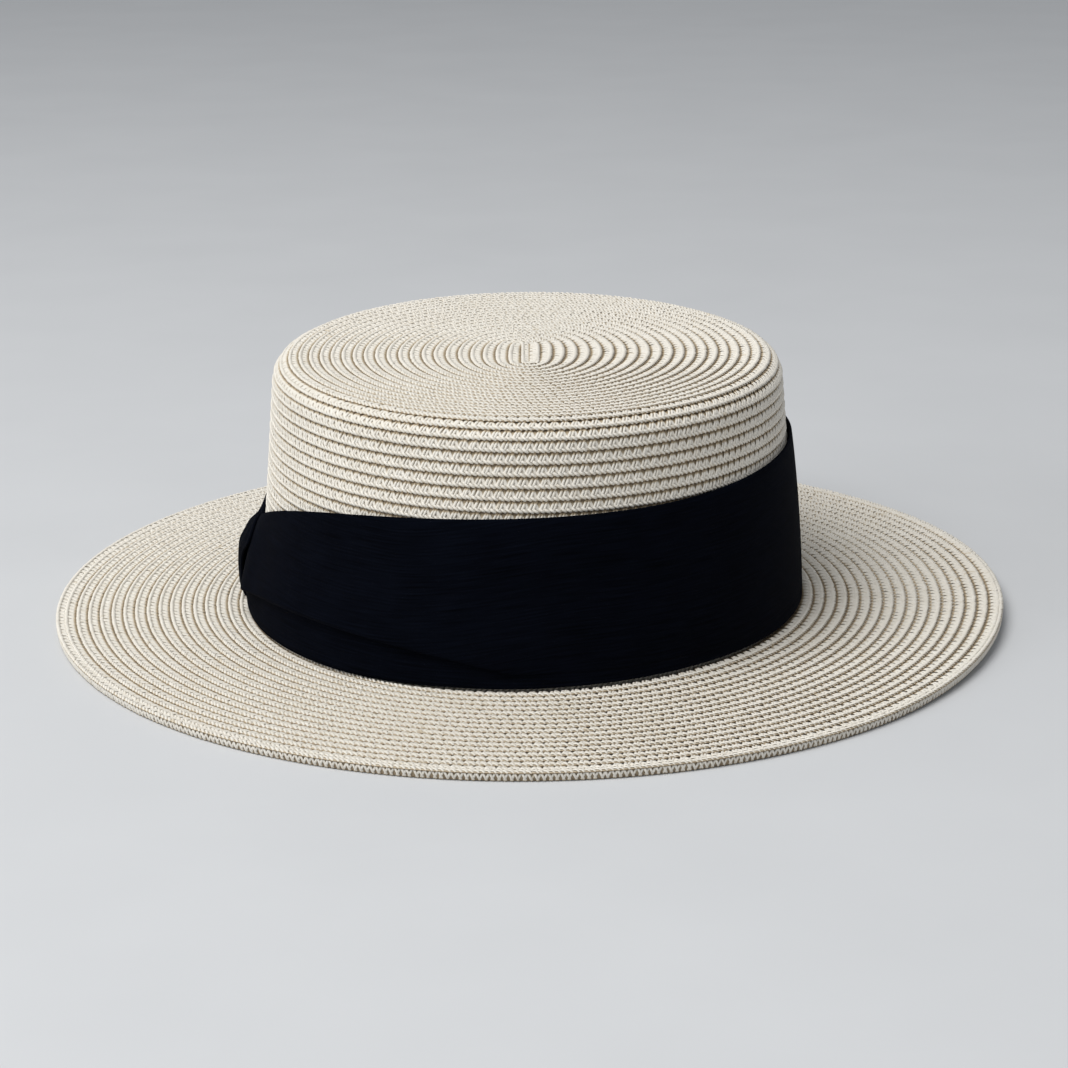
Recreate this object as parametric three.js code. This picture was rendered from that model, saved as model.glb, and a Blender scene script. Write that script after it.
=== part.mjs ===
// A straw boater: an oval crown and a flat brim of sewn braid, a wide cloth band, and the knot that
// gathers it. Millimetres, +Z up. The hat stands on the rim of its brim, with the origin on that plane
// under the crown's centre. +Y is the head's long way, and the knot is on the -X side.
import * as THREE from "three";

// Driving dimensions of the straw body.
const OVAL_EXTRA = 12; // how much longer every oval's half length is than its half width
const BRIM_RADIUS = 151.5; // half width of the brim
const CROWN_FOOT_RADIUS = 87; // half width of the crown where it meets the brim
const CROWN_TOP_RADIUS = 81; // half width of the crown just under its shoulder
const CROWN_HEIGHT = 83.5; // floor to the tip's outer row
const SHOULDER_RADIUS = 8; // rounding between the tip and the side
const TIP_SAG = 1.2; // how far the tip's centre lies below its outer row
const STRAW_WALL = 1.6; // one layer of braid

// Rows of braid, each lapped over the next one outwards.
const ROW_PITCH = 3.6;
const ROW_LAP = 0.7; // height of the step between one row and the next
const LOWEST_SHOWN_ROW = 24; // below this height the band hides the crown's rows

// Brim edge, where a second row is sewn under the last one.
const BRIM_UNDERSIDE = 1.2; // height of the single layer's underside
const EDGE_ROW = 5; // width of the doubled row
const EDGE_GROOVE = 0.8; // depth of the groove between its two layers
const EDGE_ROUNDING = 0.5;
const BRIM_LIFT = 2.5; // how far the brim's +X edge curls up off the floor

// Cloth band and knot.
const BAND_FOOT = 3.8; // height of the band's lower edge, just above the brim
const BAND_TOP = 55; // height of the upper edge away from the knot
const BAND_TOP_AT_KNOT = 27; // height of the upper edge where the knot gathers it
const BAND_WALL = 1.4;
const BAND_SLACK = 0.8; // most that the loose cloth stands off its straight line
const GATHER_ANGLE = 32; // degrees over which the band opens out from the knot
const GATHER_CURVE = 1.15; // how late in that turn it opens
const PLEAT_HEIGHT = 15; // height of the fold that runs out of the knot
const PLEAT_DEPTH = 1.6; // how far the upper layer stands over the lower one
const PLEAT_ANGLE = 80; // degrees over which that fold fades away
const KNOT_ANGLE = 8; // degrees on each side that the knot holds gathered
const KNOT_HALF_WIDTH = 11;
const KNOT_SIDE = 0.6; // thickness of the knot at its two sides
const GAP = 0.35; // clearance between separate pieces

const PATH_END = 0.99999; // share of a path at its last row, just inside its end
const OVAL_STEPS = 40;
const BAND_STEPS = 72;
const KNOT_STEPS = 8;
const LINING_STEPS = 3;

const straw = new THREE.MeshStandardMaterial({ color: 0xe6e0d0, roughness: 0.75, metalness: 0 });
const cloth = new THREE.MeshStandardMaterial({ color: 0x0b0c12, roughness: 0.9, metalness: 0 });

const radians = THREE.MathUtils.degToRad;

// A point of the oval of half width radius, at an angle from +X.
function ovalPoint(radius, angle, height) {
  return new THREE.Vector3(
    radius * Math.cos(angle),
    (radius + OVAL_EXTRA) * Math.sin(angle),
    height,
  );
}

// A profile of (radius, height) points turned round an oval instead of a circle.
function turnOval(profile, steps, reshape = () => {}) {
  const geometry = new THREE.LatheGeometry(profile, steps);
  const position = geometry.getAttribute("position");
  for (let k = 0; k < position.count; k++) {
    const step = Math.floor(k / profile.length) % steps;
    const { x: radius, y: height } = profile[k % profile.length];
    const point = ovalPoint(radius, (step / steps) * 2 * Math.PI, height);
    reshape(point);
    position.setXYZ(k, point.x, point.y, point.z);
  }
  return geometry;
}

// Stepped outline of lapped rows along a path: each row lifts from the path to its own lower edge.
function lappedRows(path, from, to) {
  const length = path.getLength();
  const rows = Math.round((to - from) / ROW_PITCH);
  const points = [];
  for (let row = 0; row < rows; row++) {
    for (const [end, lift] of [[row, 0], [row + 1, ROW_LAP]]) {
      const along = Math.min(PATH_END, (from + ((to - from) * end) / rows) / length);
      const point = path.getPointAt(along);
      const tangent = path.getTangentAt(along);
      points.push(new THREE.Vector2(point.x - tangent.y * lift, point.y + tangent.x * lift));
    }
  }
  return points;
}

// Crown: the tip, the rounded shoulder and the side, an inverted cup of one wall.
function crownPath(inset) {
  const wallLean = Math.atan2(CROWN_FOOT_RADIUS - CROWN_TOP_RADIUS, CROWN_HEIGHT - SHOULDER_RADIUS);
  const centre = new THREE.Vector2(CROWN_TOP_RADIUS - SHOULDER_RADIUS, CROWN_HEIGHT - SHOULDER_RADIUS);
  const rounding = SHOULDER_RADIUS - inset;
  const path = new THREE.Path();
  path.moveTo(0, CROWN_HEIGHT - TIP_SAG - inset);
  path.lineTo(centre.x, CROWN_HEIGHT - inset);
  path.absarc(centre.x, centre.y, rounding, Math.PI / 2, wallLean, true);
  path.lineTo(CROWN_FOOT_RADIUS - inset, BRIM_UNDERSIDE);
  return path;
}

function crownGeometry() {
  const outside = crownPath(ROW_LAP);
  const inside = crownPath(ROW_LAP + STRAW_WALL);
  const lowestRow = outside.getLength() - (LOWEST_SHOWN_ROW - BRIM_UNDERSIDE);
  const shown = lappedRows(outside, 0, lowestRow);
  const foot = new THREE.Vector2(crownSide(BRIM_UNDERSIDE), BRIM_UNDERSIDE);
  const lining = inside.getPoints(LINING_STEPS).reverse();
  const profile = [...shown, foot, ...lining].reverse();
  return turnOval(profile, OVAL_STEPS);
}

// Brim: lapped rows outside the crown's foot, ending in the doubled edge row.
function liftBrim(point) {
  const out = (point.x - CROWN_FOOT_RADIUS) / (BRIM_RADIUS - CROWN_FOOT_RADIUS);
  point.z += BRIM_LIFT * Math.max(0, out) ** 2;
}

function brimGeometry() {
  const inner = CROWN_FOOT_RADIUS + GAP;
  const surface = BRIM_UNDERSIDE + STRAW_WALL;
  const path = new THREE.Path();
  path.moveTo(inner, surface);
  path.lineTo(BRIM_RADIUS, surface);
  const middle = (surface + ROW_LAP) / 2;
  const edge = [
    [BRIM_RADIUS, middle + EDGE_ROUNDING],
    [BRIM_RADIUS - EDGE_GROOVE, middle],
    [BRIM_RADIUS, middle - EDGE_ROUNDING],
    [BRIM_RADIUS - EDGE_ROUNDING, 0],
    [BRIM_RADIUS - EDGE_ROW, 0],
    [BRIM_RADIUS - EDGE_ROW - EDGE_ROUNDING, BRIM_UNDERSIDE],
    [inner, BRIM_UNDERSIDE],
  ].map(([radius, height]) => new THREE.Vector2(radius, height));
  const rows = lappedRows(path, 0, path.getLength());
  const profile = [...rows, ...edge, rows[0]].reverse();
  return turnOval(profile, OVAL_STEPS, liftBrim);
}

// Half width of the crown's outside at a height on its side.
function crownSide(height) {
  const up = height / (CROWN_HEIGHT - SHOULDER_RADIUS);
  return CROWN_FOOT_RADIUS + (CROWN_TOP_RADIUS - CROWN_FOOT_RADIUS) * up;
}

// Band: how far it has opened out at an angle from the knot, from 0 to 1.
function opened(fromKnot) {
  const out = Math.max(0, Math.abs(fromKnot) - KNOT_ANGLE) / GATHER_ANGLE;
  return 1 - Math.exp(-(out ** GATHER_CURVE));
}

function bandTop(fromKnot) {
  return BAND_TOP_AT_KNOT + (BAND_TOP - BAND_TOP_AT_KNOT) * opened(fromKnot);
}

// The front half of the band has the fold, and the back half, at negative angles from the knot, is plain.
function pleat(fromKnot) {
  const share = THREE.MathUtils.clamp(1 - fromKnot / PLEAT_ANGLE, 0, 1);
  return fromKnot < 0 ? 0 : PLEAT_DEPTH * share;
}

// Rows of the band's outside, from its foot to its top. lower is the share of the way up to the fold,
// upper the share of the way from the fold to the top, and fold and slack the shares of the fold's depth
// and of the cloth's slack.
const BAND_ROWS = [
  { lower: 0, upper: 0, fold: 0, slack: 0 },
  { lower: 0.5, upper: 0, fold: 0, slack: 0.5 },
  { lower: 0.95, upper: 0, fold: 0, slack: 0.2 },
  { lower: 1, upper: 0, fold: 1, slack: 0.5 },
  { lower: 1, upper: 0.25, fold: 0.8, slack: 1 },
  { lower: 1, upper: 0.6, fold: 0.4, slack: 0.9 },
  { lower: 1, upper: 1, fold: 0, slack: 0 },
];

function bandOutside(fromKnot, row) {
  const top = bandTop(fromKnot);
  const fold = Math.min(PLEAT_HEIGHT, BAND_FOOT + (top - BAND_FOOT) / 2);
  const height = BAND_FOOT + (fold - BAND_FOOT) * row.lower + (top - fold) * row.upper;
  const radius = crownSide(height) + GAP + BAND_WALL + BAND_SLACK * row.slack + pleat(fromKnot) * row.fold;
  return { radius, height };
}

// A closed ring of equal sections, each a list of points, as one solid.
function ringGeometry(sections) {
  const count = sections[0].length;
  const indices = [];
  for (let i = 0; i < sections.length; i++) {
    const next = (i + 1) % sections.length;
    for (let j = 0; j < count; j++) {
      const up = (j + 1) % count;
      const [a, b, c, d] = [i * count + j, next * count + j, next * count + up, i * count + up];
      indices.push(a, b, c, a, c, d);
    }
  }
  return new THREE.BufferGeometry().setFromPoints(sections.flat()).setIndex(indices);
}

function bandGeometry() {
  const sections = [];
  for (let step = 0; step < BAND_STEPS; step++) {
    const fromKnot = (step / BAND_STEPS) * 360 - 180;
    const at = (radius, height) => ovalPoint(radius, Math.PI + radians(fromKnot), height);
    const top = bandTop(fromKnot);
    const outside = BAND_ROWS.map((row) => bandOutside(fromKnot, row));
    const inside = [top, BAND_FOOT].map((height) => at(crownSide(height) + GAP, height));
    sections.push([...outside.map(({ radius, height }) => at(radius, height)), ...inside]);
  }
  return ringGeometry(sections);
}

// Knot: a soft loop of the same cloth over the gathered band, thickest in its middle, with its tip on the
// crown. Rows from its foot to its tip: seat is where the inside lies, on the band or on the crown,
// thickness is the middle's, and width the share of the whole half width.
const ON_CROWN = GAP;
const ON_BAND = GAP + BAND_WALL + BAND_SLACK + PLEAT_DEPTH + GAP;
const KNOT_ROWS = [
  { height: BAND_FOOT, seat: ON_BAND, thickness: 1.1, width: 0.85 },
  { height: BAND_FOOT + 4, seat: ON_BAND, thickness: 2.1, width: 0.95 },
  { height: (BAND_FOOT + BAND_TOP_AT_KNOT) / 2, seat: ON_BAND, thickness: 2.7, width: 1 },
  { height: BAND_TOP_AT_KNOT - 6, seat: ON_BAND, thickness: 2.4, width: 1 },
  { height: BAND_TOP_AT_KNOT - 1.5, seat: ON_BAND, thickness: 1.3, width: 0.9 },
  { height: BAND_TOP_AT_KNOT + 1.6, seat: ON_CROWN, thickness: 2.4, width: 0.75 },
  { height: BAND_TOP_AT_KNOT + 4, seat: ON_CROWN, thickness: 0.8, width: 0.5 },
];

function knotGeometry() {
  const sections = [];
  for (const row of KNOT_ROWS) {
    const seat = crownSide(row.height) + row.seat;
    const spread = (KNOT_HALF_WIDTH * row.width) / (seat + OVAL_EXTRA);
    const outside = [];
    const inside = [];
    for (let step = 0; step <= KNOT_STEPS; step++) {
      const across = (2 * step) / KNOT_STEPS - 1;
      const angle = Math.PI + spread * across;
      const side = Math.min(KNOT_SIDE, row.thickness);
      const thickness = side + (row.thickness - side) * Math.sqrt(1 - across * across);
      outside.push(ovalPoint(seat + thickness, angle, row.height));
      inside.push(ovalPoint(seat, angle, row.height));
    }
    sections.push([...outside, ...inside.reverse()]);
  }
  return loftGeometry(sections);
}

// Equal sections joined in order and closed flat at both ends.
function loftGeometry(sections) {
  const count = sections[0].length;
  const half = count / 2;
  const last = (sections.length - 1) * count;
  const indices = [];
  for (let i = 0; i + 1 < sections.length; i++) {
    for (let j = 0; j < count; j++) {
      const a = i * count + j;
      const b = i * count + ((j + 1) % count);
      indices.push(a, b, b + count, a, b + count, a + count);
    }
  }
  for (let j = 0; j + 1 < half; j++) {
    const across = [j, j + 1, count - 2 - j, count - 1 - j];
    const [a, b, c, d] = across;
    indices.push(a, c, b, a, d, c);
    const [e, f, g, h] = across.map((k) => k + last);
    indices.push(e, f, g, e, g, h);
  }
  return new THREE.BufferGeometry().setFromPoints(sections.flat()).setIndex(indices);
}

const pieces = [
  ["crown", crownGeometry(), straw],
  ["brim", brimGeometry(), straw],
  ["hat_band", bandGeometry(), cloth],
  ["band_knot", knotGeometry(), cloth],
];
const hat = new THREE.Group();
for (const [name, geometry, material] of pieces) {
  geometry.computeVertexNormals();
  const mesh = new THREE.Mesh(geometry, material);
  mesh.name = name;
  hat.add(mesh);
}

export default hat;
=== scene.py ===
"""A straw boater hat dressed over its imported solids: spiral braid, cloth band and knot, on a pale floor.

Lengths are in millimetres and become metres as each mesh is made, except where a name ends in _m.
Angles from the knot are in degrees. Other angles are in radians.
"""

import math

import bpy
import numpy as np
from mathutils import Matrix, Vector


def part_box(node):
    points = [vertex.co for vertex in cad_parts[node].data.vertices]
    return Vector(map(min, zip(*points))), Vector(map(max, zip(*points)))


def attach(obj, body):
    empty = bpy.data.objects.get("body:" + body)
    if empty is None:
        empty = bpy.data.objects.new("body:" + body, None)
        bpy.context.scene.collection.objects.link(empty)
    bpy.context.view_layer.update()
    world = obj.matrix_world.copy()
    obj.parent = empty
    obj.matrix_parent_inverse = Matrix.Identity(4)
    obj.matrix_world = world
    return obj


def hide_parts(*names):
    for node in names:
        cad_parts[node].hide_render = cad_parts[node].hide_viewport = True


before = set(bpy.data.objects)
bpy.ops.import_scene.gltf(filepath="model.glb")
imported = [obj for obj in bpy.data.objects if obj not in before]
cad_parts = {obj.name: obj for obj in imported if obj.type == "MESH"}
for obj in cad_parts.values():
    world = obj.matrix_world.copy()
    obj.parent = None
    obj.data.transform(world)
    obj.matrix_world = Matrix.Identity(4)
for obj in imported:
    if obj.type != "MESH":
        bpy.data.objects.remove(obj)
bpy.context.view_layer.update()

MM = 0.001
SEED = 11
RNG = np.random.default_rng(SEED)


def node_box(node):
    """Lowest and highest corner of a CAD node."""
    low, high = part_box(node)
    return np.array(low) / MM, np.array(high) / MM


# Sizes read from the frame.
_, brim_high = node_box("brim")
_, crown_high = node_box("crown")
band_low, _ = node_box("hat_band")
BRIM_RADIUS = brim_high[0]
OVAL_EXTRA = brim_high[1] - brim_high[0]
CROWN_HEIGHT = crown_high[2]
CROWN_FOOT_RADIUS = crown_high[0]
BAND_FOOT = band_low[2]

# The straw body's other sizes.
CROWN_TOP_RADIUS = 81
SHOULDER_RADIUS = 8
TIP_SAG = 1.2
BRIM_TOP = 3.5
BRIM_UNDERSIDE = 1.2
BRIM_LIFT = 2.5
EDGE_FACE_TOP = 2.9
EDGE_FACE_INSET = 0.1

# The tip's rows never close to a point.
LEAST_RADIUS = 0.2

# On the side away from the knot the crown's foot is drawn up, and the brim beside it.
FOOT_RISE = 1.6
FOOT_RISE_ANGLES = (60, 130)
FOOT_RUN = 8

# Near the middle of the tip the ovals become a straight core with round ends.
CORE_BLEND = 40
CORE_FLATNESS = 0.03

# The braid: the pitch of its rows, and the length along a row that one pair of strands takes.
ROW = 3.6
TIP_START = 1.9
TIP_CENTRE_ROW = 4.15
TIP_EDGE_ROW = 3.3
SIDE_ROW = 3.56
PAIR = 3.2
SPIRAL_STEPS = 720
HIDDEN_BY_BAND = 6


def oval(radius, angle):
    """Points of the oval of that half width."""
    flatness = np.clip(radius / CORE_BLEND, CORE_FLATNESS, 1)
    sine, cosine = np.sin(angle), np.cos(angle)
    stretch = sine / np.sqrt(sine**2 + flatness * cosine**2)
    return radius * cosine, radius * sine + OVAL_EXTRA * stretch


def angle_from_knot(x, y):
    """Angle from the knot, which is at -X, from -180 to 180. Positive angles go round by the front."""
    turn = np.degrees(np.arctan2(y / (CROWN_FOOT_RADIUS + OVAL_EXTRA), x / CROWN_FOOT_RADIUS))
    return np.mod(turn, 360) - 180


def ramp(value, start, run):
    """0 at start and before, rising evenly to 1 after that run."""
    return np.clip((value - start) / run, 0, 1)


def smooth(low, high, value):
    """0 up to low and 1 from high on, with an even curve between."""
    share = ramp(value, low, high - low)
    return share * share * (3 - 2 * share)


def run_along(points):
    """Distance along rows of points from the first row."""
    steps = np.linalg.norm(np.diff(points, axis=0), axis=-1)
    return np.concatenate([np.zeros_like(steps[:1]), np.cumsum(steps, axis=0)])


# Surfaces: each takes the distance along its outline and gives radius, height and the outward normal.
LEAN = math.atan2(CROWN_FOOT_RADIUS - CROWN_TOP_RADIUS, CROWN_HEIGHT - SHOULDER_RADIUS)
TIP_RADIUS = CROWN_TOP_RADIUS - SHOULDER_RADIUS
TIP_RUN = math.hypot(TIP_RADIUS, TIP_SAG)
SHOULDER_RUN = SHOULDER_RADIUS * (math.pi / 2 - LEAN)
SIDE_START = TIP_RUN + SHOULDER_RUN
SHOULDER_HEIGHT = CROWN_HEIGHT - SHOULDER_RADIUS


def crown_surface(run):
    """From the tip's centre over the shoulder and down the side."""
    tip = np.clip(run, 0, TIP_RUN) / TIP_RUN
    turn = math.pi / 2 - np.clip((run - TIP_RUN) / SHOULDER_RADIUS, 0, math.pi / 2 - LEAN)
    down = np.maximum(0, run - SIDE_START)
    on_tip = run < TIP_RUN
    radius = np.where(
        on_tip,
        tip * TIP_RADIUS,
        TIP_RADIUS + SHOULDER_RADIUS * np.cos(turn) + down * math.sin(LEAN),
    )
    height = np.where(
        on_tip,
        CROWN_HEIGHT - TIP_SAG * (1 - tip),
        SHOULDER_HEIGHT + SHOULDER_RADIUS * np.sin(turn) - down * math.cos(LEAN),
    )
    return radius, height, np.cos(turn), np.sin(turn)


def brim_surface(run):
    """From the crown's foot out to the brim's edge."""
    return CROWN_FOOT_RADIUS + run, np.full_like(run, BRIM_TOP), np.zeros_like(run), np.ones_like(run)


def edge_surface(run):
    """Down the outer face of the brim's edge."""
    flat = np.zeros_like(run)
    return flat + BRIM_RADIUS - EDGE_FACE_INSET, EDGE_FACE_TOP - run, flat + 1, flat


def side_radius(height):
    """Half width of the crown's straight side at a height."""
    return CROWN_FOOT_RADIUS + (CROWN_TOP_RADIUS - CROWN_FOOT_RADIUS) * height / SHOULDER_HEIGHT


def brim_lift(x):
    """How far the brim curls up off the floor towards +X."""
    out = (x - CROWN_FOOT_RADIUS) / (BRIM_RADIUS - CROWN_FOOT_RADIUS)
    return BRIM_LIFT * np.maximum(0, out) ** 2


def foot_rise(angle):
    """How far the crown's foot is drawn up at an angle from the knot."""
    return FOOT_RISE * smooth(*FOOT_RISE_ANGLES, np.abs(angle))


def place(surface, run, angle, up):
    """Points on a surface, raised by up along its normal."""
    radius, height, outward, upward = surface(run)
    x, y = oval(np.maximum(LEAST_RADIUS, radius + outward * up), angle)
    z = height + upward * up
    if surface is not crown_surface:
        near_foot = np.exp(-np.maximum(0, radius - CROWN_FOOT_RADIUS) / FOOT_RUN)
        z = z + brim_lift(x) + foot_rise(angle_from_knot(x, y)) * near_foot
    return np.stack([x, y, z], axis=-1)


# Meshes.
def add_mesh(name, points, quads, material, attributes=None, uv=None):
    """A smooth mesh of quads, in metres, with point attributes and a UV for each point."""
    mesh = bpy.data.meshes.new(name)
    count = len(quads)
    mesh.vertices.add(len(points))
    mesh.vertices.foreach_set("co", (np.asarray(points, float) * MM).ravel())
    mesh.loops.add(4 * count)
    mesh.loops.foreach_set("vertex_index", np.asarray(quads, np.int32).ravel())
    mesh.polygons.add(count)
    mesh.polygons.foreach_set("loop_start", np.arange(0, 4 * count, 4, dtype=np.int32))
    mesh.polygons.foreach_set("loop_total", np.full(count, 4, np.int32))
    mesh.polygons.foreach_set("use_smooth", np.ones(count, bool))
    for key, values in (attributes or {}).items():
        data = mesh.attributes.new(key, "FLOAT", "POINT").data
        data.foreach_set("value", np.asarray(values, np.float32))
    if uv is not None:
        layer = mesh.uv_layers.new(name="cloth")
        layer.data.foreach_set("uv", np.asarray(uv, np.float32)[np.asarray(quads).ravel()].ravel())
    mesh.update(calc_edges=True)
    mesh.validate()
    mesh.materials.append(material)
    piece = bpy.data.objects.new(name, mesh)
    bpy.context.scene.collection.objects.link(piece)
    return piece


def grid_quads(rows, columns, closed_rows=False, closed_columns=False):
    """Quads of a grid of points numbered row by row."""
    i = np.arange(rows if closed_rows else rows - 1)[:, None]
    j = np.arange(columns if closed_columns else columns - 1)[None, :]
    below, right = (i + 1) % rows, (j + 1) % columns
    corners = [i * columns + j, i * columns + right, below * columns + right, below * columns + j]
    return np.stack(np.broadcast_arrays(*corners), axis=-1).reshape(-1, 4)


# Node helpers.
def new_material(name):
    """A material with its node tree and its main shader."""
    material = bpy.data.materials.new(name)
    material.use_nodes = True
    tree = material.node_tree
    return material, tree, tree.nodes["Principled BSDF"]


def add_node(tree, kind, inputs=None, **settings):
    """A node with its settings, and its inputs linked to sockets or set to values."""
    node = tree.nodes.new(kind)
    for key, value in settings.items():
        setattr(node, key, value)
    for key, value in (inputs or {}).items():
        if isinstance(value, bpy.types.NodeSocket):
            tree.links.new(value, node.inputs[key])
        else:
            node.inputs[key].default_value = value
    return node


def math_node(tree, operation, a, b=0.0):
    """One arithmetic step on one or two values."""
    return add_node(tree, "ShaderNodeMath", {0: a, 1: b}, operation=operation).outputs[0]


def weighted_sum(tree, a, a_weight, b, b_weight):
    """Two values, each times its weight, added up."""
    first = math_node(tree, "MULTIPLY", a, a_weight)
    second = math_node(tree, "MULTIPLY", b, b_weight)
    return math_node(tree, "ADD", first, second)


def noise_node(tree, where, scale, detail):
    inputs = {"Vector": where, "Scale": scale, "Detail": detail}
    return add_node(tree, "ShaderNodeTexNoise", inputs).outputs["Fac"]


def ramp_node(tree, fac, stops):
    """Colours of a ramp of (position, colour) stops."""
    node = add_node(tree, "ShaderNodeValToRGB", {"Fac": fac})
    elements = node.color_ramp.elements
    while len(elements) < len(stops):
        elements.new(1.0)
    for element, (position, colour) in zip(elements, stops):
        element.position = position
        element.color = (*colour, 1)
    return node.outputs["Color"]


def link_bump(tree, shader, height, strength, distance_m):
    bump = add_node(tree, "ShaderNodeBump", {"Height": height, "Strength": strength, "Distance": distance_m})
    tree.links.new(bump.outputs["Normal"], shader.inputs["Normal"])


def cloth_axes(tree):
    """The cloth UV, in metres, and its two coordinates."""
    uv = add_node(tree, "ShaderNodeUVMap", uv_map="cloth").outputs["UV"]
    axes = add_node(tree, "ShaderNodeSeparateXYZ", {"Vector": uv})
    return uv, axes.outputs["X"], axes.outputs["Y"]


def waves(tree, coordinate, pitch_m):
    """A wave of that pitch along a coordinate."""
    return math_node(tree, "SINE", math_node(tree, "MULTIPLY", coordinate, 2 * math.pi / pitch_m))


# A Mix node's sockets when it mixes colours.
MIX_FACTOR, MIX_A, MIX_B, MIX_RESULT = 0, 6, 7, 2

# Straw colours.
CREAM = (0.78, 0.733, 0.648)
PALE = (0.86, 0.825, 0.755)
TAN = (0.62, 0.53, 0.39)
WHITE = (1, 1, 1)
HALF_SHADE_BROWN = (0.62, 0.53, 0.40)
# Painted shade, multiplied onto the straw by the depth attribute: dark brown in the deepest gaps, lighter
# brown under each row's edge.
GROOVE_SHADE = (0.21, 0.155, 0.10)
STRAW_TONES = [(0.1, TAN), (0.35, CREAM), (0.9, PALE)]
STRAW_PAINTED_SHADE = [(0.0, GROOVE_SHADE), (0.42, HALF_SHADE_BROWN), (0.72, WHITE)]
WALL_TONES = [(0.0, TAN), (0.45, CREAM)]
STRAND_WEIGHT, PATCH_WEIGHT = 0.65, 0.35
WALL_PATCHES = 1.5
WALL_SLANT = 0.5
WALL_CONTRAST, WALL_MIDDLE = 0.25, 0.5

# Cloth colours and threads.
CLOTH_DARK = (0.0005, 0.0008, 0.0019)
CLOTH_LIGHT = (0.0026, 0.0037, 0.0078)
CLOTH_TONES = [(0.3, CLOTH_DARK), (0.75, CLOTH_LIGHT)]
CLOTH_SHEEN = (0.35, 0.42, 0.75, 1)
THREAD_PITCH_M = 0.42 * MM
SLUB_SCALE = (60.0, 1900.0, 1.0)
SLUB_TONE, PATCH_TONE = 0.7, 0.3
WEAVE_HEIGHT, SLUB_HEIGHT = 0.5, 1.6


def straw_material():
    """Paper straw: each strand has its own tone, and painted shade darkens the deep gaps between strands to
    brown.
    """
    material, tree, shader = new_material("straw_braid")
    depth = add_node(tree, "ShaderNodeAttribute", attribute_name="depth").outputs["Fac"]
    tone = add_node(tree, "ShaderNodeAttribute", attribute_name="tone").outputs["Fac"]
    where = add_node(tree, "ShaderNodeTexCoord").outputs["Object"]
    patches = noise_node(tree, where, scale=45.0, detail=3.0)
    fibres = noise_node(tree, where, scale=2600.0, detail=2.0)
    face = ramp_node(tree, weighted_sum(tree, tone, STRAND_WEIGHT, patches, PATCH_WEIGHT), STRAW_TONES)
    # Painted shade: the depth attribute darkens the straw in the gaps and under the rows' edges.
    shade = ramp_node(tree, depth, STRAW_PAINTED_SHADE)
    sockets = {MIX_FACTOR: 1.0, MIX_A: face, MIX_B: shade}
    colour = add_node(tree, "ShaderNodeMix", sockets, data_type="RGBA", blend_type="MULTIPLY")
    tree.links.new(colour.outputs[MIX_RESULT], shader.inputs["Base Color"])
    link_bump(tree, shader, fibres, strength=0.25, distance_m=0.0001)
    shader.inputs["Roughness"].default_value = 0.62
    shader.inputs["Specular IOR Level"].default_value = 0.35
    return material


def wall_material():
    """The inner side of the braid, where the strands show as a slanted weave in each row."""
    material, tree, shader = new_material("straw_inside")
    _, round_way, row_way = cloth_axes(tree)
    slanted = math_node(tree, "ADD", round_way, math_node(tree, "MULTIPLY", row_way, WALL_SLANT))
    strands = waves(tree, slanted, PAIR * MM / 2)
    where = add_node(tree, "ShaderNodeTexCoord").outputs["Object"]
    patches = noise_node(tree, where, scale=120.0, detail=4.0)
    height = math_node(tree, "ADD", strands, math_node(tree, "MULTIPLY", patches, WALL_PATCHES))
    level = {0: height, 1: WALL_CONTRAST, 2: WALL_MIDDLE}
    tone = add_node(tree, "ShaderNodeMath", level, operation="MULTIPLY_ADD").outputs[0]
    face = ramp_node(tree, tone, WALL_TONES)
    tree.links.new(face, shader.inputs["Base Color"])
    link_bump(tree, shader, height, strength=0.6, distance_m=0.0003)
    shader.inputs["Roughness"].default_value = 0.7
    return material


def cloth_material():
    """Blue-black plain weave with slubs along the weft."""
    material, tree, shader = new_material("band_cloth")
    uv, weft_way, warp_way = cloth_axes(tree)
    across = waves(tree, weft_way, THREAD_PITCH_M)
    down = waves(tree, warp_way, THREAD_PITCH_M)
    weave = math_node(tree, "MULTIPLY", across, down)
    long_way = add_node(tree, "ShaderNodeMapping", {"Vector": uv, "Scale": SLUB_SCALE}).outputs["Vector"]
    slubs = noise_node(tree, long_way, scale=1.0, detail=2.0)
    patches = noise_node(tree, uv, scale=70.0, detail=3.0)
    height = weighted_sum(tree, weave, WEAVE_HEIGHT, slubs, SLUB_HEIGHT)
    face = ramp_node(tree, weighted_sum(tree, slubs, SLUB_TONE, patches, PATCH_TONE), CLOTH_TONES)
    tree.links.new(face, shader.inputs["Base Color"])
    link_bump(tree, shader, height, strength=0.5, distance_m=0.00012)
    shader.inputs["Roughness"].default_value = 0.85
    shader.inputs["Specular IOR Level"].default_value = 0.02
    shader.inputs["Sheen Weight"].default_value = 0.005
    shader.inputs["Sheen Roughness"].default_value = 0.5
    shader.inputs["Sheen Tint"].default_value = CLOTH_SHEEN
    return material


straw = straw_material()
inside = wall_material()
cloth = cloth_material()


# Braid strands. along, across and up are places on a row: across runs from the edge of the row above, at 0,
# to the row's own lower edge, at ROW, and up is measured from the outermost face of the rows.
def table(*rows):
    return np.array(rows, float)


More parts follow.
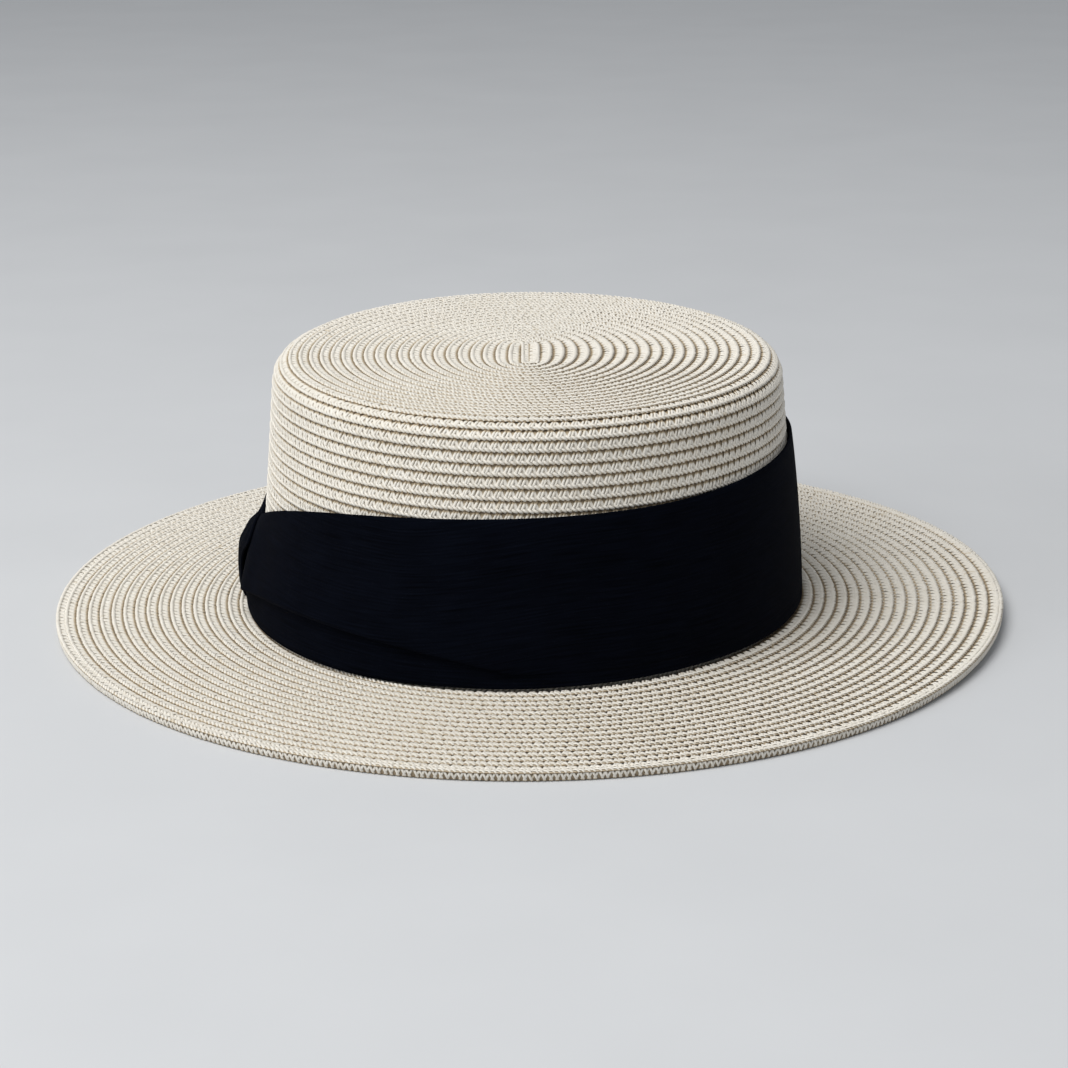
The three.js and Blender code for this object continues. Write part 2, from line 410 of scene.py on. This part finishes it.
UPPER_STRAND = table(
    # along, across, up
    (0.92, -0.90, -1.40),
    (0.56, 0.30, -1.02),
    (0.06, 1.35, -0.58),
    (-0.48, 2.60, -0.68),
)
CROSS_STRAND = table(
    # along, across, up
    (1.15, 0.10, -1.15),
    (1.75, 1.10, -0.84),
    (2.35, 2.45, -0.82),
)
ROPE_STRAND = table(
    # along, across, up
    (-0.85, 2.30, -0.84),
    (-0.34, 2.68, -0.38),
    (0.32, 3.10, -0.35),
    (0.80, 3.40, -0.92),
)
EDGE_LEFT = table(
    # along, across, up
    (-0.85, 0.10, -0.70),
    (-0.50, 0.80, -0.28),
    (0.00, 1.80, -0.24),
    (0.35, 2.60, -0.72),
)
EDGE_RIGHT = table(
    # along, across, up
    (0.85, 0.05, -0.74),
    (0.50, 0.85, -0.36),
    (0.00, 1.75, -0.38),
    (-0.35, 2.60, -0.78),
)

# Angles of the points round a strand, which is open underneath.
SECTION = np.radians([-15, 50, 130, 195])

# The layer under the strands, with painted shade in its depth column: dark brown where it shows in the gaps,
# paler where it is the core of the row's edge.
ROW_BACKING = table(
    # across, up, depth
    (-1.0, -1.70, 0.0),
    (0.4, -1.25, 0.12),
    (1.1, -1.10, 0.42),
    (2.5, -0.66, 0.70),
    (3.28, -0.66, 0.52),
    (3.44, -0.84, 0.25),
    (3.44, -1.05, 0.03),
)
# Painted shade: the layer behind the edge row's strands is dark, darkest at its ends.
EDGE_BACKING = table(
    # across, up, depth
    (-0.1, -0.62, 0.02),
    (1.3, -0.58, 0.34),
    (2.6, -0.62, 0.05),
)
BACKING_TONE = 0.5

# Painted shade: the depth attribute is 1 on the strands' faces and 0 in the deepest gaps, where it darkens
# the straw.
ROW_DARKEST = 0.08
LAP_SHADE_START, LAP_SHADE_RUN = 0.1, 0.7
UNDER_SHADE_START, UNDER_SHADE_RUN = -1.0, 0.35
CROSS_DARKEST, CROSS_GAIN = 0.12, 0.7
CROSS_SHADE_START, CROSS_SHADE_RUN = 0.3, 0.7
EDGE_DARKEST = 0.3
EDGE_MIDDLE, EDGE_FADE_END, EDGE_FADE_RUN = 1.3, 1.5, 1.0


def row_shade(across, up):
    """Painted shade: dark under the row above and under the row's own edge."""
    clear_of_lap = ramp(across, LAP_SHADE_START, LAP_SHADE_RUN)
    clear_of_edge = ramp(up, UNDER_SHADE_START, UNDER_SHADE_RUN)
    return ROW_DARKEST + (1 - ROW_DARKEST) * clear_of_lap * clear_of_edge


def cross_shade(across, up):
    """The strands seen through the gaps between pairs, with painted shade: brown at the top, under the row
    above, and paler lower down.
    """
    return CROSS_DARKEST + CROSS_GAIN * ramp(across, CROSS_SHADE_START, CROSS_SHADE_RUN)


def edge_shade(across, up):
    """Painted shade: dark at both ends of the edge row's strands, which lie deeper."""
    from_middle = np.abs(across - EDGE_MIDDLE) / EDGE_FADE_RUN
    return EDGE_DARKEST + (1 - EDGE_DARKEST) * np.clip(EDGE_FADE_END - from_middle, 0, 1)


ROW_STRANDS = [
    # centreline, half width, half height, places along each pair, shade
    (UPPER_STRAND, 0.42, 0.28, (0.0, 1.02), row_shade),
    (CROSS_STRAND, 0.55, 0.22, (0.0,), cross_shade),
    (ROPE_STRAND, 0.40, 0.26, (0.0, PAIR / 2), row_shade),
]
EDGE_STRANDS = [
    # centreline, half width, half height, places along each pair, shade
    (EDGE_LEFT, 0.37, 0.28, (0.0,), edge_shade),
    (EDGE_RIGHT, 0.37, 0.26, (0.15,), edge_shade),
]


def strand_spread(centre, half_width, half_height):
    """Offsets of a strand's cross-sections from its centreline."""
    tangent = np.gradient(centre, axis=0)
    tangent /= np.linalg.norm(tangent, axis=1, keepdims=True)
    lie = centre[-1] - centre[0]
    side = np.array([lie[1], -lie[0], 0])
    side /= np.linalg.norm(side)
    top = np.cross(side, tangent)
    top /= np.linalg.norm(top, axis=1, keepdims=True)
    top *= np.sign(top[0, 2])
    wide = np.cos(SECTION)[None, :, None] * half_width * side
    high = np.sin(SECTION)[None, :, None] * half_height * top[:, None, :]
    return wide + high


class Spiral:
    """A braid laid along a surface: turn after turn, each row's lower edge one pitch beyond the last."""

    def __init__(self, surface, start, stop, pitch, start_angle, last_turns=0):
        self.surface, self.pitch = surface, pitch
        edges = [start]
        while edges[-1] < stop:
            edges.append(edges[-1] + pitch(edges[-1]) / SPIRAL_STEPS)
        edges += [stop] * round(last_turns * SPIRAL_STEPS)
        self.edge = np.minimum(edges, stop)
        self.angle = start_angle + 2 * math.pi * np.arange(len(edges)) / SPIRAL_STEPS
        self.length = run_along(place(surface, self.edge, self.angle, 0.0))

    def points(self, along, across, up):
        edge = np.interp(along, self.length, self.edge)
        angle = np.interp(along, self.length, self.angle)
        scale = self.pitch(edge) / ROW
        return place(self.surface, edge + (across - ROW) * scale, angle, up)

    def pair_starts(self):
        return np.arange(PAIR, self.length[-1] - PAIR, PAIR)


class Ring:
    """One closed row down the face of the brim's edge."""

    def __init__(self, surface):
        self.surface = surface
        self.angle = np.linspace(0, 2 * math.pi, SPIRAL_STEPS + 1)
        self.length = run_along(place(surface, np.full(SPIRAL_STEPS + 1, ROW), self.angle, 0.0))

    def points(self, along, across, up):
        angle = np.interp(np.mod(along, self.length[-1]), self.length, self.angle)
        return place(self.surface, across, angle, up)


class CoreRow:
    """A straight row along Y in the middle of the tip, with its lower edge on the named side."""

    def __init__(self, side, edge):
        self.side, self.edge = side, edge

    def points(self, along, across, up):
        x = self.edge - self.side * (ROW - across) * CORE_ROW / ROW
        y = self.side * (along - CORE_HALF_LENGTH)
        z = CROWN_HEIGHT - TIP_SAG + CORE_RAISE + up
        return np.stack([x, y, z], axis=-1)


# How much the strands differ: along, across and up, then in width and tone.
STRAND_JITTER = (0.11, 0.035, 0.03)
WIDTH_JITTER = 0.07
TONE_MEAN, TONE_SPREAD = 0.6, 0.16


def lay_strands(path, starts, centre, half_width, half_height, offset, shade):
    """Points, quads, depth and tone of one strand in every pair."""
    spread = strand_spread(centre, half_width, half_height)
    count, steps, around = len(starts), len(centre), len(SECTION)
    shift = RNG.normal(0, 1, (count, 3)) * STRAND_JITTER
    size = RNG.normal(1, WIDTH_JITTER, count)
    local = centre[None, :, None, :] + spread[None] * size[:, None, None, None] + shift[:, None, None, :]
    along = starts[:, None, None] + offset + local[..., 0]
    across, up = local[..., 1], local[..., 2]
    points = path.points(along.ravel(), across.ravel(), up.ravel())
    base = np.arange(count)[:, None, None] * (steps * around)
    quads = (base + grid_quads(steps, around)[None]).reshape(-1, 4)
    depth = shade(across, up).ravel()
    tone = np.repeat(np.clip(RNG.normal(TONE_MEAN, TONE_SPREAD, count), 0, 1), steps * around)
    return points, quads, depth, tone


def lay_backing(path, starts, pair, backing):
    """The layer under the strands of those pairs, one strip along the row."""
    along = np.append(starts, starts[-1] + pair)
    across, up, strip_depth = backing.T
    grid_along, grid_across = np.broadcast_arrays(along[:, None], across[None, :])
    grid_up = np.broadcast_to(up[None, :], grid_along.shape)
    points = path.points(grid_along.ravel(), grid_across.ravel(), grid_up.ravel())
    depth = np.tile(strip_depth, len(along))
    tone = np.full(len(points), BACKING_TONE)
    return points, grid_quads(len(along), len(across)), depth, tone


def joined(parts):
    """One set of points, quads, depth and tone from several."""
    points, quads, depth, tone = zip(*parts)
    firsts = np.cumsum([0] + [len(part) for part in points[:-1]])
    quads = [part + first for part, first in zip(quads, firsts)]
    return np.concatenate(points), np.concatenate(quads), np.concatenate(depth), np.concatenate(tone)


def braid_piece(name, path, runs, pair=PAIR, strands=ROW_STRANDS, backing=ROW_BACKING):
    """Braid along the given runs of pairs."""
    parts = []
    for starts in runs:
        for centre, half_width, half_height, places, shade in strands:
            for offset in places:
                parts.append(lay_strands(path, starts, centre, half_width, half_height, offset, shade))
        parts.append(lay_backing(path, starts, pair, backing))
    points, quads, depth, tone = joined(parts)
    return add_mesh(name, points, quads, straw, {"depth": depth, "tone": tone})


def runs_of(starts, shown):
    """The unbroken runs of pairs that are shown."""
    breaks = np.flatnonzero(np.diff(np.flatnonzero(shown)) > 1) + 1
    return [starts[run] for run in np.split(np.flatnonzero(shown), breaks) if len(run) > 1]


# Band outline, by the angle from the knot.
BAND_TOP_AT_KNOT = 29
BAND_SPREAD = 26.9
BAND_RISE = 1.8
BAND_RISE_ANGLES = (115, 175)
GATHER_ANGLE = 35
GATHER_CURVE = 1.25


def band_top(angle):
    """Height of the band's upper edge."""
    opened = 1 - np.exp(-((np.abs(angle) / GATHER_ANGLE) ** GATHER_CURVE))
    far_side = smooth(*BAND_RISE_ANGLES, np.abs(angle))
    return BAND_TOP_AT_KNOT + BAND_SPREAD * opened + BAND_RISE * far_side


def band_foot(angle):
    """Height of the band's lower edge."""
    return BAND_FOOT + foot_rise(angle)


# Crown braid: one spiral from the tip's core over the shoulder and down the side, to under the band's edge.
def crown_pitch(run):
    tip = TIP_CENTRE_ROW + (TIP_EDGE_ROW - TIP_CENTRE_ROW) * np.clip(run / TIP_RUN, 0, 1)
    return np.where(run < TIP_RUN, tip, SIDE_ROW)


SIDE_END = SIDE_START + (SHOULDER_HEIGHT - BAND_TOP_AT_KNOT + HIDDEN_BY_BAND) / math.cos(LEAN)
crown_spiral = Spiral(crown_surface, TIP_START, SIDE_END, crown_pitch, math.pi)
crown_starts = crown_spiral.pair_starts()
start_points = crown_spiral.points(crown_starts, np.full(len(crown_starts), ROW), np.zeros(len(crown_starts)))
start_angles = angle_from_knot(start_points[:, 0], start_points[:, 1])
above_band = start_points[:, 2] > band_top(start_angles) - HIDDEN_BY_BAND
on_tip = np.interp(crown_starts, crown_spiral.length, crown_spiral.edge) < TIP_RUN
crown_tip = braid_piece("crown_tip", crown_spiral, runs_of(crown_starts, on_tip))
crown_side = braid_piece("crown_side", crown_spiral, runs_of(crown_starts, above_band & ~on_tip))

# Core of the tip: the straight start of the braid, folded back on itself.
CORE_HALF_LENGTH = 13
CORE_ROW = 2.95
CORE_RAISE = 0.12
CORE_ROWS = [
    # name, side that its lower edge is on, x of that edge
    ("crown_core_left", -1, -1.9),
    ("crown_core_right", 1, 4.0),
]
core_starts = np.arange(0, 2 * CORE_HALF_LENGTH - PAIR, PAIR)
core_rows = [braid_piece(name, CoreRow(side, edge), [core_starts]) for name, side, edge in CORE_ROWS]

# Brim braid: a spiral out from the crown's foot, in three pieces, and the doubled edge row.
BRIM_WIDTH = BRIM_RADIUS - CROWN_FOOT_RADIUS
BRIM_PIECES = 3
BRIM_ROWS = 17.5
BRIM_ROW = BRIM_WIDTH / BRIM_ROWS
EDGE_PAIRS = 560


def brim_pitch(run):
    return BRIM_ROW


brim_spiral = Spiral(brim_surface, BRIM_ROW / 2, BRIM_WIDTH, brim_pitch, math.pi / 2, last_turns=1)
brim_pieces = [
    braid_piece(f"brim_rows_{k + 1}", brim_spiral, [starts])
    for k, starts in enumerate(np.array_split(brim_spiral.pair_starts(), BRIM_PIECES))
]

edge_ring = Ring(edge_surface)
edge_pair = edge_ring.length[-1] / EDGE_PAIRS
edge_starts = np.arange(EDGE_PAIRS) * edge_pair
brim_edge = braid_piece("brim_edge_row", edge_ring, [edge_starts], edge_pair, EDGE_STRANDS, EDGE_BACKING)

# Walls: the layer of straw under the strands. Its plain rows show inside the crown and under the brim.
WALL_STEPS = 180
WALL_TOP = 1.5
WALL_UV_RADIUS = 20
OUTER_STEP = 12.0
INNER_DEPTHS = (-WALL_TOP - 0.7, -WALL_TOP - 1.1)
BRIM_CLEAR = 0.4
UNDER_LAP = 0.4
DOUBLED_ROW = 4.6
EDGE_OUTLINE = [
    # inset from the brim's edge, height
    (1.2, BRIM_TOP - WALL_TOP),
    (0.9, 2.4),
    (0.8, 1.3),
    (0.9, 0.3),
    (1.3, 0.05),
    (4.2, 0.05),
    (DOUBLED_ROW, 0.4),
]


def turned(name, outline, lift):
    """A closed outline of (radius, height) rows turned round the oval, and lifted with the brim."""
    outline = np.array(outline, float)
    angle = np.linspace(0, 2 * math.pi, WALL_STEPS, endpoint=False)
    radius = np.broadcast_to(outline[None, :, 0], (WALL_STEPS, len(outline)))
    x, y = oval(np.maximum(radius, LEAST_RADIUS), angle[:, None])
    z = np.broadcast_to(outline[None, :, 1], x.shape) + lift(x)
    points = np.stack([x, y, z], axis=-1).reshape(-1, 3)
    u = angle[:, None] * np.maximum(radius, WALL_UV_RADIUS)
    v = np.broadcast_to(run_along(outline)[None, :], u.shape)
    uv = np.stack([u, v], axis=-1).reshape(-1, 2) * MM
    quads = grid_quads(WALL_STEPS, len(outline), closed_rows=True, closed_columns=True)
    return add_mesh(name, points, quads, inside, uv=uv)


def stepped(surface, start, stop, pitch, low, high):
    """Lapped rows as (radius, height): each row slants from one depth to the other."""
    rows = max(1, round((stop - start) / pitch))
    runs = np.repeat(np.linspace(start, stop, rows + 1), 2)[1:-1]
    depth = np.tile([low, high], rows)
    radius, height, outward, upward = surface(runs)
    return list(zip(radius + outward * depth, height + upward * depth))


def crown_wall():
    side_foot = SIDE_START + (SHOULDER_HEIGHT - BRIM_UNDERSIDE) / math.cos(LEAN)
    outer = stepped(crown_surface, 0.0, side_foot, OUTER_STEP, -WALL_TOP, -WALL_TOP)
    inner = stepped(crown_surface, 0.0, side_foot, ROW, *INNER_DEPTHS)
    return turned("crown_inside", outer + inner[::-1], np.zeros_like)


def brim_wall():
    under = BRIM_UNDERSIDE - BRIM_TOP
    rows = stepped(brim_surface, BRIM_CLEAR, BRIM_WIDTH - DOUBLED_ROW, ROW, under, under + UNDER_LAP)
    root = [(CROWN_FOOT_RADIUS + BRIM_CLEAR, BRIM_TOP - WALL_TOP)]
    edge = [(BRIM_RADIUS - inset, height) for inset, height in EDGE_OUTLINE]
    return turned("brim_underside", root + edge + rows[::-1], brim_lift)


crown_inside = crown_wall()
brim_underside = brim_wall()

# Band cloth: how far it stands off the crown, loose, at the knot and beside it, and the fold out of the knot.
BAND_COLUMNS = 480
BAND_LENGTH = 590
MM_PER_DEGREE = BAND_LENGTH / 360
BAND_CLEAR = 0.5
BAND_STAND = 1.0
SLACK = 0.7
BELLY_CURVE = 0.8
FLARE = 2.8
FLARE_START, FLARE_END = (2, 12), (48, 80)
FLARE_CURVE = 2
KNOT_FILL = 4.4
KNOT_FILL_ANGLE = 4.5
KNOT_FILL_CURVE = 4
KNOT_BULGE = 2.6
KNOT_BULGE_AT = 11
KNOT_BULGE_ANGLE = 7
FOLD_DEPTH = 2.2
FOLD_LAP = 2.8
FOLD_START, FOLD_END = (5, 16), (60, 102)
FOLD_TOP, FOLD_DROP = 17, 8
FOLD_TOP_AT = 46
FOLD_DROP_ANGLE = 40
FOLD_FADE_START = 1.25
FOLD_FADE_CURVE = 2.2
FOLD_TURN = [
    # share of the fold's depth, share of its lap
    (0.30, 0.20),
    (0.45, 0.60),
    (0.60, 0.95),
    (0.85, 1.06),
    (1.08, 1.00),
    (1.18, 0.86),
]
LOWER_ROWS, UPPER_ROWS = 12, 24
UPPER_ROW_CURVE = 1.3
TOP_EDGE = [
    # offset from the crown, height over the band's top
    (0.75, 0.2),
    (0.25, 0.1),
]
INNER_TOP = 0.4
INNER_MIDDLE = 20


def between(start, end, angle):
    """1 between two angles from the knot, fading in over start and out over end."""
    return smooth(*start, angle) * (1 - smooth(*end, angle))


def fold_height(angle):
    """Height of the fold's lower edge."""
    drop = FOLD_DROP * ((angle - FOLD_TOP_AT) / FOLD_DROP_ANGLE) ** 2
    return np.clip(FOLD_TOP - drop, FOLD_TOP - FOLD_DROP, FOLD_TOP)


def bell(angle, width):
    return np.exp(-((angle / width) ** 2))


def cloth_stand(angle, height):
    """How far the loose cloth stands off at an angle from the knot and a height."""
    foot, top = band_foot(angle), band_top(angle)
    up = np.clip((height - foot) / (top - foot), 0, 1)
    belly = np.sin(math.pi * up) ** BELLY_CURVE
    filled = 1 - (2 * up - 1) ** KNOT_FILL_CURVE
    flare = FLARE * between(FLARE_START, FLARE_END, angle) * (1 - up) ** FLARE_CURVE
    inside_knot = KNOT_FILL * bell(angle, KNOT_FILL_ANGLE)
    beside_knot = KNOT_BULGE * bell(np.abs(angle) - KNOT_BULGE_AT, KNOT_BULGE_ANGLE)
    return BAND_STAND + flare + inside_knot * filled + (SLACK + beside_knot) * belly


def band_profile(angle):
    """(offset from the crown, height) of the band's outside, from foot to top, at angles from the knot."""
    foot, top, fold = band_foot(angle), band_top(angle), fold_height(angle)
    share = between(FOLD_START, FOLD_END, angle)
    depth = FOLD_DEPTH * share
    lap = FOLD_LAP * share
    rows = []
    for step in np.linspace(0, 1, LOWER_ROWS):
        height = foot + (fold + lap - foot) * step
        rows.append((cloth_stand(angle, height), height))
    inner = rows[-1][0]
    for out, down in FOLD_TURN:
        rows.append((inner + depth * out, fold + lap * (1 - down)))
    start = rows[-1][1]
    for step in np.linspace(0, 1, UPPER_ROWS + 1)[1:] ** UPPER_ROW_CURVE:
        height = start + (top - start) * step
        over_fold = depth * FOLD_FADE_START * (1 - step) ** FOLD_FADE_CURVE
        rows.append((cloth_stand(angle, height) + over_fold, height))
    for offset, over_top in TOP_EDGE:
        rows.append((np.full_like(angle, offset), top + over_top))
    return np.array([row[0] for row in rows]), np.array([row[1] for row in rows])


def band_cloth():
    """The band all round, closed on its inside against the crown."""
    angle = np.linspace(-180, 180, BAND_COLUMNS, endpoint=False)
    offset, height = band_profile(angle)
    foot = band_foot(angle)
    inner_height = np.stack([band_top(angle) - INNER_TOP, foot + INNER_MIDDLE, foot])
    offset = np.concatenate([offset, np.zeros_like(inner_height)])
    height = np.concatenate([height, inner_height])
    x, y = oval(side_radius(height) + BAND_CLEAR + offset, np.radians(180 + angle)[None, :])
    points = np.stack([x, y, height], axis=-1)
    run = run_along(points)
    u = np.broadcast_to(angle[None, :] * MM_PER_DEGREE, run.shape)
    uv = np.stack([u, run], axis=-1).reshape(-1, 2) * MM
    quads = grid_quads(len(height), len(angle), closed_rows=True, closed_columns=True)
    return add_mesh("hat_band_cloth", points.reshape(-1, 3), quads[:, ::-1], cloth, uv=uv)


band = band_cloth()

# Knot: a thin loop of the same cloth over the gathered band, closed down on it at the back, with an ear.
KNOT_OUTSIDE = table(
    # half width at its middle, height, angles of its back and front edges, half widths at those edges
    (90.2, 3.55, -3.5, 4.0, 89.4, 89.9),
    (92.5, 4.5, -4.5, 4.5, 89.7, 91.9),
    (93.4, 7.0, -5.0, 4.5, 90.8, 92.5),
    (93.6, 10.0, -5.5, 5.0, 91.3, 92.7),
    (93.7, 15.0, -5.5, 5.5, 91.5, 92.7),
    (93.4, 19.0, -5.5, 6.5, 91.2, 92.4),
    (92.8, 22.3, -5.0, 9.0, 90.5, 91.9),
    (91.8, 25.0, -4.5, 11.5, 89.6, 91.0),
    (90.4, 27.4, -3.5, 11.0, 88.7, 90.0),
    (88.8, 29.6, -0.5, 9.5, 87.6, 88.9),
    (87.0, 32.2, 4.5, 6.5, 86.8, 87.0),
)
KNOT_ROWS, KNOT_COLUMNS = 48, 36
KNOT_THICKNESS = 0.9
KNOT_PLEAT = 0.25
KNOT_PLEAT_HALF_WAVES = 3.5
SOFTEN = np.array([1, 2, 3, 2, 1]) / 9


def softened(column):
    """A column of the table, spread over the knot's rows with its corners rounded."""
    keys = np.linspace(0, 1, len(column))
    rows = np.interp(np.linspace(0, 1, KNOT_ROWS), keys, column)
    return np.convolve(np.pad(rows, len(SOFTEN) // 2, mode="edge"), SOFTEN, mode="valid")[:, None]


def knot_cloth():
    """The loop as two layers of the grid, joined at all their edges."""
    middle, height, back, front, back_edge, front_edge = (softened(column) for column in KNOT_OUTSIDE.T)
    across = np.linspace(-1, 1, KNOT_COLUMNS)[None, :]
    angle = back + (front - back) * (across + 1) / 2
    rise = np.sin(np.linspace(0, math.pi, KNOT_ROWS))[:, None]
    pleats = KNOT_PLEAT * np.cos(KNOT_PLEAT_HALF_WAVES * math.pi * across) * rise
    edge = np.where(across < 0, back_edge, front_edge)
    radius = middle + (edge - middle) * across**2 + pleats
    height = np.broadcast_to(height, radius.shape)
    turn = np.radians(180 + angle)
    outer = np.stack([*oval(radius, turn), height], axis=-1)
    inner = np.stack([*oval(radius - KNOT_THICKNESS, turn), height], axis=-1)
    points = np.concatenate([outer, inner[:, ::-1]], axis=1).reshape(-1, 3)
    u = np.concatenate([angle, angle[:, ::-1]], axis=1) * MM_PER_DEGREE
    v = np.concatenate([height, height], axis=1)
    uv = np.stack([u, v], axis=-1).reshape(-1, 2) * MM
    columns = 2 * KNOT_COLUMNS
    sides = grid_quads(KNOT_ROWS, columns, closed_columns=True)
    j = np.arange(KNOT_COLUMNS - 1)
    foot = np.stack([columns - 1 - j, columns - 2 - j, j + 1, j], axis=-1)
    tip = foot[:, ::-1] + (KNOT_ROWS - 1) * columns
    return add_mesh("band_knot_cloth", points, np.concatenate([sides, foot, tip]), cloth, uv=uv)


knot = knot_cloth()

# Frame: every piece rides on the hat's one body.
crown_pieces = [crown_tip, *core_rows, crown_side, crown_inside]
for piece in crown_pieces:
    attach(piece, "root")
    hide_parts("crown")
for piece in (*brim_pieces, brim_edge, brim_underside):
    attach(piece, "root")
    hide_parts("brim")
for piece, node in ((band, "hat_band"), (knot, "band_knot")):
    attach(piece, "root")
    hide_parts(node)

# Floor, light and camera.
FLOOR_HALF = 6000
FLOOR_TONES = [(0.3, (0.62, 0.632, 0.648)), (0.7, (0.64, 0.652, 0.668))]
FLOOR_CORNERS = [(-1, -1), (1, -1), (1, 1), (-1, 1)]


def floor_material():
    """A plain pale grey with a faint grain."""
    material, tree, shader = new_material("floor")
    where = add_node(tree, "ShaderNodeTexCoord").outputs["Object"]
    grain = noise_node(tree, where, scale=14.0, detail=5.0)
    tree.links.new(ramp_node(tree, grain, FLOOR_TONES), shader.inputs["Base Color"])
    shader.inputs["Roughness"].default_value = 0.8
    return material


floor_points = [(FLOOR_HALF * i, FLOOR_HALF * j, 0.0) for i, j in FLOOR_CORNERS]
floor = add_mesh("floor", floor_points, [[0, 1, 2, 3]], floor_material())

LIGHT_AIM_M = Vector((0, 0, 0.04))
SKY_COLOUR = (0.93, 0.96, 1.0, 1)
SKY_STRENGTH = 0.35


def area_light(name, place_m, size_m, watts, colour):
    """A round soft light aimed at the hat."""
    light = bpy.data.lights.new(name, "AREA")
    light.shape = "DISK"
    light.size = size_m
    light.energy = watts
    light.color = colour
    lamp = bpy.data.objects.new(name, light)
    lamp.location = place_m
    lamp.rotation_euler = (LIGHT_AIM_M - Vector(place_m)).to_track_quat("-Z", "Y").to_euler()
    bpy.context.scene.collection.objects.link(lamp)


area_light("overhead", place_m=(-0.7, -0.65, 1.8), size_m=1.6, watts=32.5, colour=(1.0, 0.99, 0.97))
area_light("left_fill", place_m=(-2.0, -0.9, 0.9), size_m=1.2, watts=11, colour=(0.95, 0.975, 1.0))

world = bpy.data.worlds.new("studio")
bpy.context.scene.world = world
world.use_nodes = True
sky = world.node_tree.nodes["Background"]
sky.inputs["Color"].default_value = SKY_COLOUR
sky.inputs["Strength"].default_value = SKY_STRENGTH

# Camera: fitted to the photograph's outline of the hat, for an image of 1068 by 1068 pixels.
IMAGE_SIDE = 1068
FOCAL_PIXELS = 3000
SENSOR = 36
TARGET_M = Vector((0, 0, 0.0424))
DISTANCE_M = 0.962
ELEVATION = math.radians(15.42)
TARGET_PIXEL = (528.3, 472.5)
ROLL = math.radians(0.49)

lens = bpy.data.cameras.new("camera")
lens.sensor_width = SENSOR
lens.lens = FOCAL_PIXELS / IMAGE_SIDE * SENSOR
lens.shift_x = (IMAGE_SIDE / 2 - TARGET_PIXEL[0]) / IMAGE_SIDE
lens.shift_y = (TARGET_PIXEL[1] - IMAGE_SIDE / 2) / IMAGE_SIDE
camera = bpy.data.objects.new("camera", lens)
away = Vector((0, -math.cos(ELEVATION), math.sin(ELEVATION)))
look = (-away).to_track_quat("-Z", "Y").to_matrix().to_4x4()
roll = Matrix.Rotation(-ROLL, 4, "Z")
camera.matrix_world = Matrix.Translation(TARGET_M + DISTANCE_M * away) @ look @ roll
bpy.context.scene.collection.objects.link(camera)
bpy.context.scene.camera = camera

bpy.context.scene.view_settings.view_transform = "Standard"
